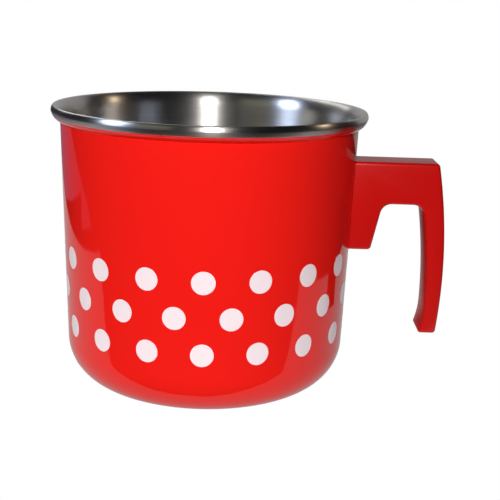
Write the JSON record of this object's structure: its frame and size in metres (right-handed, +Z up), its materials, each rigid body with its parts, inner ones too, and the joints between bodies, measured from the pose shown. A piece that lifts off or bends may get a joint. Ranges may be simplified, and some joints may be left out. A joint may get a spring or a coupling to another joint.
{
  "type": "melting pot",
  "caption": "Deep round steel pot with a flared pouring rim, red outside with white dots, and an open hook handle; melts candle wax over heat and pours it.",
  "frame": {"origin": "centre of the base, on the surface that the pot stands on", "axes": "+Z up along the pot's axis; +X from the pot's axis towards the handle; the handle lies in the XZ plane"},
  "size_m": [0.1937, 0.153, 0.1365],
  "materials": {
    "stainless_steel": "deep-drawn stainless steel, brushed round the inside, polished on the rim",
    "red_lacquer": "glossy baked red coat on steel",
    "red_phenolic": "red moulded phenolic resin, satin with a fine orange peel",
    "zinc_plated_steel": "zinc-plated steel fixings",
    "white_print": "white printed dots, fired with the coat, slightly raised"
  },
  "bodies": {
    "root": {"pot_body": "stainless_steel", "red_coat": "red_lacquer", "handle": "red_phenolic", "handle_bracket": "stainless_steel", "weld_nut": "zinc_plated_steel", "handle_screw": "zinc_plated_steel", "flat_washer": "zinc_plated_steel", "spring_washer": "zinc_plated_steel"}
  },
  "joints": []
}
